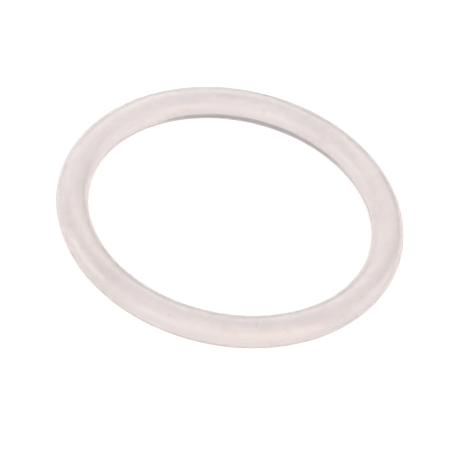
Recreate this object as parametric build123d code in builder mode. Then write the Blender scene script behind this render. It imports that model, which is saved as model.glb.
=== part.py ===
from build123d import *
import os

# Moulded rubber O-ring that lies flat, as it comes to rest
# Millimetres, +Z up along the ring's axis of symmetry
# The origin is the middle of the hole, at the height of the surface that the ring lies on

# The two sizes that an O-ring is ordered by: its hole, and the thickness of its cord
inner_diameter = 46.99
cord_diameter = 5.33

# The circle that the middle of the cord runs along
cord_radius = cord_diameter / 2
centreline_radius = inner_diameter / 2 + cord_radius
centreline_height = cord_radius  # so that the cord just touches the surface under it

# The ring is one moulding: the round section of the cord is turned once about the axis
with BuildPart() as o_ring:
    with BuildSketch(Plane.XZ) as cord_section:
        with Locations((centreline_radius, centreline_height)):
            Circle(cord_radius)
    revolve(axis=Axis.Z)

o_ring.part.label = "o_ring"

os.makedirs("parts", exist_ok=True)
export_step(o_ring.part, "parts/o_ring.step")
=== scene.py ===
import logging
import math
from dataclasses import dataclass, field
from enum import Enum

import bpy
import numpy as np
from mathutils import Matrix, Vector

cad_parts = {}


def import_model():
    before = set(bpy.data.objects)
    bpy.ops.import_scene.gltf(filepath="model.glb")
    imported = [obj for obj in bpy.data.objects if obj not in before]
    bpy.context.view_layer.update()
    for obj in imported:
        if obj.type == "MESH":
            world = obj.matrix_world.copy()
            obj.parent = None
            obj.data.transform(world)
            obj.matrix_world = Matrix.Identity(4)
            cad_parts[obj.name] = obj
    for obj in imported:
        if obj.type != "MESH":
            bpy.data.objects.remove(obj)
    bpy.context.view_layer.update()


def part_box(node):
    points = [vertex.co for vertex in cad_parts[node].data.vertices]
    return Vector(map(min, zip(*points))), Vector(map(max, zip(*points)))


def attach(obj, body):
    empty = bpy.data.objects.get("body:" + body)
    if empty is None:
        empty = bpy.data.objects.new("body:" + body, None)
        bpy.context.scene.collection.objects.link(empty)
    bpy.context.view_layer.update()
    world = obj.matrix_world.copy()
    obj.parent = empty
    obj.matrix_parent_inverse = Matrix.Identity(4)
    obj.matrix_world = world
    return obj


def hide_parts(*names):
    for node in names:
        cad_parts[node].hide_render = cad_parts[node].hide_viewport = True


LOG = logging.getLogger("o_ring")
MM = 0.001
# Light scatters this often in the milky rubber before it is given up
VOLUME_BOUNCES = 12
# The sockets of a mix node that mixes colours: its two inputs and its output
MIX_FIRST, MIX_SECOND, MIX_RESULT = 6, 7, 2


def linear(hex_colour: str) -> tuple[float, float, float, float]:
    """Turns an sRGB hex colour into linear red, green, blue and an alpha of 1.

    Args:
        hex_colour: Six hex digits, such as "f4ece9".

    Returns:
        Each channel is c / 12.92 up to 0.04045, and otherwise (c + 0.055) / 1.055 to the power 2.4.
    """
    channels = [int(hex_colour[i : i + 2], 16) / 255 for i in (0, 2, 4)]
    red, green, blue = (c / 12.92 if c <= 0.04045 else ((c + 0.055) / 1.055) ** 2.4 for c in channels)
    return red, green, blue, 1.0


def add_node(
    tree: bpy.types.NodeTree,
    kind: str,
    settings: dict[str, object] | None = None,
    values: dict[str | int, object] | None = None,
    links: dict[str | int, bpy.types.NodeSocket] | None = None,
) -> bpy.types.Node:
    """Adds one node to a tree.

    Args:
        tree: The tree that gets the node.
        kind: The node's class name in Blender.
        settings: The node's own properties.
        values: Socket name or number to the constant that it holds.
        links: Socket name or number to the output that feeds it.

    Returns:
        The new node.
    """
    node = tree.nodes.new(kind)
    for name, value in (settings or {}).items():
        setattr(node, name, value)
    for name, value in (values or {}).items():
        node.inputs[name].default_value = value
    for name, source in (links or {}).items():
        tree.links.new(source, node.inputs[name])
    return node


class SeenRay(Enum):
    """The rays that show a surface to the eye, by the name of the output that tells them."""

    CAMERA = "Is Camera Ray"
    MIRRORED = "Is Glossy Ray"
    LET_THROUGH = "Is Transmission Ray"


def seen_rays(tree: bpy.types.NodeTree) -> bpy.types.NodeSocket:
    """Tells the rays that show a surface to the eye from those that only light the scene.

    Args:
        tree: The tree that gets the nodes.

    Returns:
        A socket that is 1 for any of the rays that count as seen, and otherwise 0.
    """
    path = add_node(tree, "ShaderNodeLightPath")
    seen = path.outputs[SeenRay.CAMERA.value]
    for other in (SeenRay.MIRRORED, SeenRay.LET_THROUGH):
        links = {0: seen, 1: path.outputs[other.value]}
        seen = add_node(tree, "ShaderNodeMath", {"operation": "MAXIMUM"}, links=links).outputs[0]
    return seen


@dataclass(frozen=True)
class Grain:
    """A soft random pattern of a real size. Patch is the size of a patch of it, in metres."""

    patch: float
    low: float = 0.0
    high: float = 1.0
    detail: float = 2.0
    noise_low: float = 0.3
    noise_high: float = 0.7

    def socket(self, tree: bpy.types.NodeTree, place: bpy.types.NodeSocket) -> bpy.types.NodeSocket:
        """Adds the pattern to a tree.

        Args:
            tree: The tree that gets the nodes.
            place: Object coordinates, in metres.

        Returns:
            A value that runs from the low to the high one, because the middle of the noise's range, where
            nearly all of it lies, is stretched over them.
        """
        noise = add_node(
            tree,
            "ShaderNodeTexNoise",
            values={"Scale": 1 / self.patch, "Detail": self.detail},
            links={"Vector": place},
        )
        stretched = add_node(
            tree,
            "ShaderNodeMapRange",
            values={
                "From Min": self.noise_low,
                "From Max": self.noise_high,
                "To Min": self.low,
                "To Max": self.high,
            },
            links={"Value": noise.outputs["Fac"]},
        )
        return stretched.outputs["Result"]


@dataclass(frozen=True)
class Specks:
    """Small round specks, few and far between: dust in the moulding and clumps of filler."""

    spacing: float = 1.6 * MM
    radius: float = 0.17 * MM
    share: float = 0.3

    def socket(self, tree: bpy.types.NodeTree, place: bpy.types.NodeSocket) -> bpy.types.NodeSocket:
        """Adds the specks to a tree.

        Args:
            tree: The tree that gets the nodes.
            place: Object coordinates, in metres.

        Returns:
            A mask that is 1 in the middle of a speck and falls to 0 at its radius. Only the given share of
            the cells has a speck, and the cell's random colour chooses it.
        """
        scale = 1 / self.spacing
        cells = add_node(tree, "ShaderNodeTexVoronoi", values={"Scale": scale}, links={"Vector": place})
        edge = self.radius / self.spacing
        spot = add_node(
            tree,
            "ShaderNodeMapRange",
            values={"From Min": edge / 2, "From Max": edge, "To Min": 1.0, "To Max": 0.0},
            links={"Value": cells.outputs["Distance"]},
        )
        lot = add_node(tree, "ShaderNodeSeparateColor", links={"Color": cells.outputs["Color"]})
        chosen = add_node(
            tree,
            "ShaderNodeMath",
            {"operation": "LESS_THAN"},
            values={1: self.share},
            links={0: lot.outputs[0]},
        )
        mask = add_node(
            tree,
            "ShaderNodeMath",
            {"operation": "MULTIPLY"},
            links={0: spot.outputs["Result"], 1: chosen.outputs[0]},
        )
        return mask.outputs[0]


@dataclass(frozen=True)
class MouldedSilicone:
    """Translucent silicone rubber, pressed in a two-part steel mould and cured again in an oven.

    Silicone is clear with a milky haze, because its silica filler scatters light a little. That shows the
    eye a pale ring whose edges are greyer, whose middle gathers light like a rod lens, and whose skin has
    the soft sheen of a fine-ground mould.
    """

    name: str = "moulded_translucent_silicone_rubber"
    clear_tint: str = "fffbfa"
    cloudy_tint: str = "f3eae9"
    speck_tint: str = "c4b5b0"
    ior: float = 1.41
    roughness: float = 0.27
    haze_per_m: float = 110.0
    haze_forward: float = 0.6
    haze_colour: str = "fffcfb"
    taken_per_m: float = 9.0
    taken_colour: str = "dccdcc"
    clouds: Grain = Grain(patch=7 * MM)
    mottle: Grain = Grain(patch=0.9 * MM, detail=4.0)
    sheen: Grain = Grain(patch=2.2 * MM, low=0.3, high=0.44)
    waves: Grain = Grain(patch=2.6 * MM)
    # The ground mould leaves grain of about 0.05 mm. It is drawn coarser, because a pixel is 0.16 mm.
    satin: Grain = Grain(patch=0.4 * MM, detail=3.0)
    wave_height: float = 0.009 * MM
    satin_height: float = 0.006 * MM
    specks: Specks = Specks()

    def colour(self, tree: bpy.types.NodeTree, place: bpy.types.NodeSocket) -> bpy.types.NodeSocket:
        """Colours the skin.

        Args:
            tree: The tree that gets the nodes.
            place: Object coordinates, in metres.

        Returns:
            The clear tint, clouded by the mean of the clouds and the mottle, with specks on it.
        """
        large, fine = self.clouds.socket(tree, place), self.mottle.socket(tree, place)
        both = add_node(tree, "ShaderNodeMath", {"operation": "ADD"}, links={0: large, 1: fine})
        mean = add_node(
            tree,
            "ShaderNodeMath",
            {"operation": "DIVIDE"},
            values={1: 2.0},
            links={0: both.outputs[0]},
        )
        clouded = add_node(
            tree,
            "ShaderNodeMix",
            {"data_type": "RGBA"},
            values={MIX_FIRST: linear(self.clear_tint), MIX_SECOND: linear(self.cloudy_tint)},
            links={0: mean.outputs[0]},
        )
        specked = add_node(
            tree,
            "ShaderNodeMix",
            {"data_type": "RGBA"},
            values={MIX_SECOND: linear(self.speck_tint)},
            links={0: self.specks.socket(tree, place), MIX_FIRST: clouded.outputs[MIX_RESULT]},
        )
        return specked.outputs[MIX_RESULT]

    def relief(self, tree: bpy.types.NodeTree, place: bpy.types.NodeSocket) -> bpy.types.NodeSocket:
        """Gives the skin its relief.

        Args:
            tree: The tree that gets the nodes.
            place: Object coordinates, in metres.

        Returns:
            A normal that follows the slow waves of the moulding and the satin grain on them.
        """
        slow = add_node(
            tree,
            "ShaderNodeBump",
            values={"Distance": self.wave_height},
            links={"Height": self.waves.socket(tree, place)},
        )
        fine = add_node(
            tree,
            "ShaderNodeBump",
            values={"Distance": self.satin_height},
            links={"Height": self.satin.socket(tree, place), "Normal": slow.outputs["Normal"]},
        )
        return fine.outputs["Normal"]

    def material(self) -> bpy.types.Material:
        """Builds the finish.

        Returns:
            A refracting skin with a satin coat, round a volume that scatters and takes a little light.
        """
        made = bpy.data.materials.new(self.name)
        made.use_nodes = True
        tree = made.node_tree
        tree.nodes.clear()
        place = add_node(tree, "ShaderNodeTexCoord").outputs["Object"]
        normal = self.relief(tree, place)
        skin = add_node(
            tree,
            "ShaderNodeBsdfPrincipled",
            values={
                "Roughness": self.roughness,
                "IOR": self.ior,
                "Transmission Weight": 1.0,
                "Coat Weight": 1.0,
                "Coat IOR": self.ior,
            },
            links={
                "Base Color": self.colour(tree, place),
                "Normal": normal,
                "Coat Normal": normal,
                "Coat Roughness": self.sheen.socket(tree, place),
            },
        )
        haze = add_node(
            tree,
            "ShaderNodeVolumeScatter",
            values={
                "Color": linear(self.haze_colour),
                "Density": self.haze_per_m,
                "Anisotropy": self.haze_forward,
            },
        )
        taken = add_node(
            tree,
            "ShaderNodeVolumeAbsorption",
            values={"Color": linear(self.taken_colour), "Density": self.taken_per_m},
        )
        inside = add_node(tree, "ShaderNodeAddShader", links={0: haze.outputs[0], 1: taken.outputs[0]})
        add_node(
            tree,
            "ShaderNodeOutputMaterial",
            links={"Surface": skin.outputs["BSDF"], "Volume": inside.outputs[0]},
        )
        return made


@dataclass(frozen=True)
class StudioPaper:
    """Plain white paper under and round the ring. It keeps the ring's soft shadow."""

    name: str = "white_studio_paper"
    colour: str = "f2f2f2"
    lift: float = 0.43
    far_lift: float = 1.0
    near: float = 120 * MM
    far: float = 450 * MM

    def material(self) -> bpy.types.Material:
        """Builds the finish.

        Returns:
            Matt paper that looks white to the camera, and in what the ring mirrors and lets through,
            because it glows a little for those rays alone. The glow grows with the distance from the ring,
            where the lamps give less and less light.
        """
        made = bpy.data.materials.new(self.name)
        made.use_nodes = True
        tree = made.node_tree
        tree.nodes.clear()
        paper = add_node(tree, "ShaderNodeBsdfDiffuse", values={"Color": linear(self.colour)})
        place = add_node(tree, "ShaderNodeTexCoord").outputs["Object"]
        away = add_node(tree, "ShaderNodeVectorMath", {"operation": "LENGTH"}, links={0: place})
        lift = add_node(
            tree,
            "ShaderNodeMapRange",
            values={
                "From Min": self.near,
                "From Max": self.far,
                "To Min": self.lift,
                "To Max": self.far_lift,
            },
            links={"Value": away.outputs["Value"]},
        )
        strength = add_node(
            tree,
            "ShaderNodeMath",
            {"operation": "MULTIPLY"},
            links={0: seen_rays(tree), 1: lift.outputs["Result"]},
        )
        glow = add_node(tree, "ShaderNodeEmission", links={"Strength": strength.outputs[0]})
        both = add_node(tree, "ShaderNodeAddShader", links={0: paper.outputs[0], 1: glow.outputs[0]})
        add_node(tree, "ShaderNodeOutputMaterial", links={"Surface": both.outputs[0]})
        return made


@dataclass(frozen=True)
class FlashLine:
    """The hair-thin lip of rubber that the mould leaves inside and outside, at mid-height."""

    height: float = 0.03 * MM
    height_swing: float = 0.018 * MM
    half_width: float = 0.07 * MM
    swings: tuple[int, ...] = (3, 7, 16, 37)
    phase_step: float = 1.7

    def lift(self, turn: np.ndarray, section: np.ndarray, cord_radius: float) -> np.ndarray:
        """Works out how far the lip stands out of the round cord.

        Args:
            turn: Angle round the ring, in radians.
            section: Angle round the cord, 0 at the outside and pi at the inside.
            cord_radius: The cord's radius, in metres.

        Returns:
            The lip's height times a bell curve of the distance from the parting line. The height is its
            mean plus a few sine waves round the ring.
        """
        wave = sum(np.sin(n * (turn + self.phase_step)) for n in self.swings) / len(self.swings)
        height = self.height + self.height_swing * wave
        away = np.arcsin(np.clip(np.abs(np.sin(section)), 0.0, 1.0)) * cord_radius
        return height * np.exp(-((away / self.half_width) ** 2))


@dataclass
class Ring:
    """The O-ring: one round cord that closes on itself and lies flat."""

    finish: MouldedSilicone
    flash: FlashLine
    node: str = "o_ring"
    slot: str = "silicone"
    turns: int = 720
    sections: int = 96
    lip_lines: tuple[float, ...] = (0.012, 0.026, 0.045)
    angle_decimals: int = 6
    lowest: Vector = field(init=False)
    highest: Vector = field(init=False)

    def __post_init__(self) -> None:
        """Takes the ring's sizes from its solid."""
        self.lowest, self.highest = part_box(self.node)

    @property
    def cord_radius(self) -> float:
        """Half the ring's height as it lies flat, in metres."""
        return (self.highest.z - self.lowest.z) / 2

    @property
    def centreline_radius(self) -> float:
        """Radius of the circle in the middle of the cord, in metres."""
        return (self.highest.x - self.lowest.x) / 2 - self.cord_radius

    @property
    def middle(self) -> Vector:
        """The ring's centre at the mid-height of the cord, in metres."""
        return (self.lowest + self.highest) / 2

    def section_angles(self) -> np.ndarray:
        """Angles of the grid's lines round the cord.

        Returns:
            Even steps, with extra lines close to the flash at 0 and at pi, in rising order. They are
            rounded, so that no line comes twice.
        """
        even = np.arange(self.sections) * 2 * math.pi / self.sections
        near = np.array([side * line for line in self.lip_lines for side in (1, -1)])
        extra = np.concatenate([near, near + math.pi]) % (2 * math.pi)
        return np.unique(np.round(np.concatenate([even, extra]), self.angle_decimals))

    def mesh(self) -> bpy.types.Mesh:
        """Builds the cord's surface.

        Returns:
            A closed grid. A point's distance from the axis is the centreline radius plus the local radius
            times the cosine of the section angle. Its height is the cord radius plus the local radius times
            the sine of that angle. The local radius is the cord's plus the flash.
        """
        section = self.section_angles()
        turn = np.arange(self.turns) * 2 * math.pi / self.turns
        turn_grid, section_grid = np.meshgrid(turn, section, indexing="ij")
        local = self.cord_radius + self.flash.lift(turn_grid, section_grid, self.cord_radius)
        out = self.centreline_radius + local * np.cos(section_grid)
        points = np.stack(
            [
                self.middle.x + out * np.cos(turn_grid),
                self.middle.y + out * np.sin(turn_grid),
                self.middle.z + local * np.sin(section_grid),
            ],
            axis=-1,
        ).reshape(-1, 3)
        rows, columns = len(turn), len(section)
        here = np.arange(rows)[:, None] * columns + np.arange(columns)[None, :]
        ahead = np.roll(here, -1, axis=0)
        quads = np.stack([here, ahead, np.roll(ahead, -1, axis=1), np.roll(here, -1, axis=1)], axis=-1)
        return mesh_of_quads(self.node + "_skin", points, quads.reshape(-1, 4))

    def build(self) -> bpy.types.Object:
        """Makes the ring, dresses it and puts it on its body.

        Returns:
            The piece that stands for the solid.
        """
        piece = bpy.data.objects.new("moulded_ring", self.mesh())
        bpy.context.scene.collection.objects.link(piece)
        piece.data.materials.append(self.finish.material())
        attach(piece, "root")
        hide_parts(self.node)
        LOG.info("%s: %d faces", piece.name, len(piece.data.polygons))
        return piece


def mesh_of_quads(name: str, points: np.ndarray, quads: np.ndarray) -> bpy.types.Mesh:
    """Makes a smooth mesh of four-sided faces.

    Args:
        name: The mesh's name.
        points: One row of x, y and z for each vertex, in metres.
        quads: One row of four vertex numbers for each face, anticlockwise from outside.

    Returns:
        The mesh.
    """
    mesh = bpy.data.meshes.new(name)
    mesh.vertices.add(len(points))
    mesh.vertices.foreach_set("co", points.astype(np.float32).ravel())
    mesh.loops.add(quads.size)
    mesh.loops.foreach_set("vertex_index", quads.astype(np.int32).ravel())
    mesh.polygons.add(len(quads))
    mesh.polygons.foreach_set("loop_start", np.arange(0, quads.size, 4, dtype=np.int32))
    mesh.polygons.foreach_set("use_smooth", np.ones(len(quads), dtype=bool))
    mesh.update(calc_edges=True)
    mesh.validate()
    return mesh


@dataclass(frozen=True)
class Lamp:
    """A soft box that points at the ring. Its lower edge is level, and its side is its height.

    One that isn't seen through the ring lights it and shines on its skin, but doesn't whiten it from
    behind.
    """

    name: str
    azimuth: float
    elevation: float
    side: float
    strength: float
    colour: str = "ffffff"
    width_per_height: float = 1.0
    distance: float = 0.8
    seen_through: bool = True

    def build(self, target: Vector) -> bpy.types.Object:
        """Hangs the lamp.

        Args:
            target: The point that it shines at.

        Returns:
            The lamp. Its power is the strength times the square of pi times its distance, so that
            strength 1 lights a white card that faces it to white.
        """
        light = bpy.data.lights.new(self.name, "AREA")
        light.shape = "RECTANGLE"
        light.size, light.size_y = self.side * self.width_per_height, self.side
        light.energy = self.strength * (math.pi * self.distance) ** 2
        light.color = linear(self.colour)[:3]
        lamp = bpy.data.objects.new(self.name, light)
        bpy.context.scene.collection.objects.link(lamp)
        away = direction(self.azimuth, self.elevation)
        lamp.location = target + away * self.distance
        lamp.rotation_mode = "QUATERNION"
        lamp.rotation_quaternion = away.to_track_quat("Z", "Y")
        lamp.visible_camera = False
        lamp.visible_transmission = self.seen_through
        return lamp


def direction(azimuth: float, elevation: float) -> Vector:
    """Points from the ring towards a place round it.

    Args:
        azimuth: Degrees round the ring: 0 is in front, and 90 is to the right.
        elevation: Degrees above the horizon.

    Returns:
        The unit vector.
    """
    a, e = math.radians(azimuth), math.radians(elevation)
    return Vector((math.sin(a) * math.cos(e), -math.cos(a) * math.cos(e), math.sin(e)))


@dataclass(frozen=True)
class PaintedShadeStrip:
    """A very low dark blue strip of painted shade that stands on the paper and follows the ring, close
    behind it.

    It stands in for the contact shadow behind the ring's far side, and draws it as a dark line along that
    side's lower edge. It shows only in what the ring lets through and mirrors. It is so low that hardly
    more than the line sees it. Its places are ring angles in degrees: 0 is to the right, and 90 is behind.
    """

    colour: str = "183462"
    radius: float = 29.58 * MM
    height: float = 0.75 * MM
    lowest_share: float = 0.05
    starts: float = 40.0
    full_from: float = 84.0
    full_to: float = 110.0
    ends: float = 125.0
    stations: int = 86

    def mesh(self, target: Vector) -> bpy.types.Mesh:
        """Builds the strip.

        Args:
            target: The middle of the ring.

        Returns:
            An upright strip along part of a circle. Its top rises evenly from the start to the full
            height, stays level, and falls evenly to the end.
        """
        angle = np.linspace(self.starts, self.ends, self.stations)
        places = (self.starts, self.full_from, self.full_to, self.ends)
        shares = (self.lowest_share, 1.0, 1.0, self.lowest_share)
        top = self.height * np.interp(angle, places, shares)
        across, along = np.cos(np.radians(angle)), np.sin(np.radians(angle))
        rows = [
            np.stack([target.x + self.radius * across, target.y + self.radius * along, high], axis=-1)
            for high in (np.zeros_like(top), top)
        ]
        here = np.arange(self.stations - 1)
        quads = np.stack([here, here + 1, here + 1 + self.stations, here + self.stations], axis=-1)
        return mesh_of_quads("painted_shade_strip", np.concatenate(rows), quads)

    def build(self, target: Vector) -> bpy.types.Object:
        """Stands the strip of painted shade up.

        Args:
            target: The middle of the ring.

        Returns:
            The strip. It gives off its own dark colour as painted shade, for the contact shadow behind the
            ring.
        """
        shade_strip = bpy.data.objects.new("painted_shade_strip", self.mesh(target))
        bpy.context.scene.collection.objects.link(shade_strip)
        made = bpy.data.materials.new("painted_shade_strip")
        made.use_nodes = True
        made.node_tree.nodes.clear()
        # The strip glows dark blue: painted shade, standing for the contact shadow behind the ring.
        glow = add_node(made.node_tree, "ShaderNodeEmission", values={"Color": linear(self.colour)})
        add_node(made.node_tree, "ShaderNodeOutputMaterial", links={"Surface": glow.outputs[0]})
        shade_strip.data.materials.append(made)
        shade_strip.visible_camera = False
        shade_strip.visible_diffuse = False
        shade_strip.visible_shadow = False
        return shade_strip


@dataclass
class Studio:
    """Paper floor, sky, soft boxes and a strip of painted shade."""

    paper: StudioPaper
    lamps: tuple[Lamp, ...]
    half_side: float = 20.0
    sky_light: float = 1.0
    sky_colour: str = "525258"
    # A strip of painted shade: the contact shadow behind the ring's far side.
    shade_strip: PaintedShadeStrip = PaintedShadeStrip()

    def floor(self) -> bpy.types.Object:
        """Lays the paper that the ring rests on.

        Returns:
            The floor.
        """
        h = self.half_side
        mesh = bpy.data.meshes.new("paper_floor")
        mesh.from_pydata([(-h, -h, 0), (h, -h, 0), (h, h, 0), (-h, h, 0)], [], [(0, 1, 2, 3)])
        floor = bpy.data.objects.new("paper_floor", mesh)
        bpy.context.scene.collection.objects.link(floor)
        mesh.materials.append(self.paper.material())
        return floor

    def sky(self) -> bpy.types.World:
        """Surrounds the scene with even dim light.

        Returns:
            The world, which is the same plain dark grey for every ray. It darkens the cord's outer lines.
        """
        world = bpy.data.worlds.new("studio_sky")
        bpy.context.scene.world = world
        world.use_nodes = True
        tree = world.node_tree
        tree.nodes.clear()
        back = add_node(
            tree,
            "ShaderNodeBackground",
            values={"Color": linear(self.sky_colour), "Strength": self.sky_light},
        )
        add_node(tree, "ShaderNodeOutputWorld", links={"Surface": back.outputs[0]})
        return world

    def build(self, target: Vector) -> None:
        """Sets the whole studio up round a point.

        Args:
            target: The point that the lamps shine at.
        """
        self.floor()
        self.sky()
        for lamp in self.lamps:
            lamp.build(target)
        # Adds the strip of painted shade behind the ring.
        self.shade_strip.build(target)


@dataclass(frozen=True)
class PhotoCamera:
    """The camera at the photograph's viewing angle.

    The ring's outline in the photograph gives the angle, the roll and the scale, and where the middle of
    the ring falls in the frame.
    """

    frame_px: float = 453.0
    elevation: float = 44.8
    roll: float = 12.36
    centreline_radii_away: float = 40.0
    px_per_centreline_radius: float = 159.47
    middle_right_px: float = 3.89
    middle_up_px: float = 11.16
    sensor_mm: float = 36.0
    nearest: float = 0.01
    farthest: float = 60.0

    def build(self, ring: Ring) -> bpy.types.Object:
        """Places the camera.

        Args:
            ring: The ring that it looks at.

        Returns:
            The camera. It looks along the viewing angle, and is moved sideways and down so that the
            ring's middle falls where it does in the photograph.
        """
        data = bpy.data.cameras.new("photo_camera")
        data.sensor_width = self.sensor_mm
        distance_px = self.px_per_centreline_radius * self.centreline_radii_away
        data.lens = self.sensor_mm * distance_px / self.frame_px
        data.clip_start, data.clip_end = self.nearest, self.farthest
        camera = bpy.data.objects.new("photo_camera", data)
        bpy.context.scene.collection.objects.link(camera)
        back = direction(0.0, self.elevation)
        level_right = Vector((1, 0, 0))
        level_up = back.cross(level_right)
        tilt = math.radians(self.roll)
        right = math.cos(tilt) * level_right + math.sin(tilt) * level_up
        up = math.cos(tilt) * level_up - math.sin(tilt) * level_right
        metres_per_px = ring.centreline_radius / self.px_per_centreline_radius
        place = (
            ring.middle
            + back * ring.centreline_radius * self.centreline_radii_away
            - right * self.middle_right_px * metres_per_px
            - up * self.middle_up_px * metres_per_px
        )
        camera.matrix_world = Matrix.Translation(place) @ Matrix((right, up, back)).transposed().to_4x4()
        bpy.context.scene.camera = camera
        return camera


# The bright windows in the photograph's cord give the places and the sizes of the boxes
LAMPS = (
    Lamp("low_front_box", -18, 18, 0.64, 0.69, "fff0e6", width_per_height=1.37, seen_through=False),
    Lamp("low_right_box", 42, 18, 0.64, 0.8, "ffdfc9", width_per_height=1.3, seen_through=False),
    Lamp("low_left_box", -80, 12, 0.42, 0.33, width_per_height=1.3, seen_through=False),
    Lamp("low_back_left_box", -128, 12, 0.42, 0.2, width_per_height=1.3),
    Lamp("far_right_box", 105, 12, 0.42, 0.23, width_per_height=1.3),
    Lamp("high_front_box", 0, 68, 0.55, 0.25, "fff4ed"),
    Lamp("back_left_box", -154, 37, 0.6, 0.32),
    Lamp("back_box", 176, 38, 0.45, 0.05),
    Lamp("back_right_box", 148, 36, 0.5, 0.13),
)


def main() -> None:
    logging.basicConfig(level=logging.INFO, format="%(message)s")
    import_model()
    scene = bpy.context.scene
    scene.view_settings.view_transform = "Standard"
    scene.cycles.volume_bounces = VOLUME_BOUNCES
    ring = Ring(MouldedSilicone(), FlashLine())
    ring.build()
    Studio(StudioPaper(), LAMPS).build(ring.middle)
    PhotoCamera().build(ring)


if __name__ == "__main__":
    main()
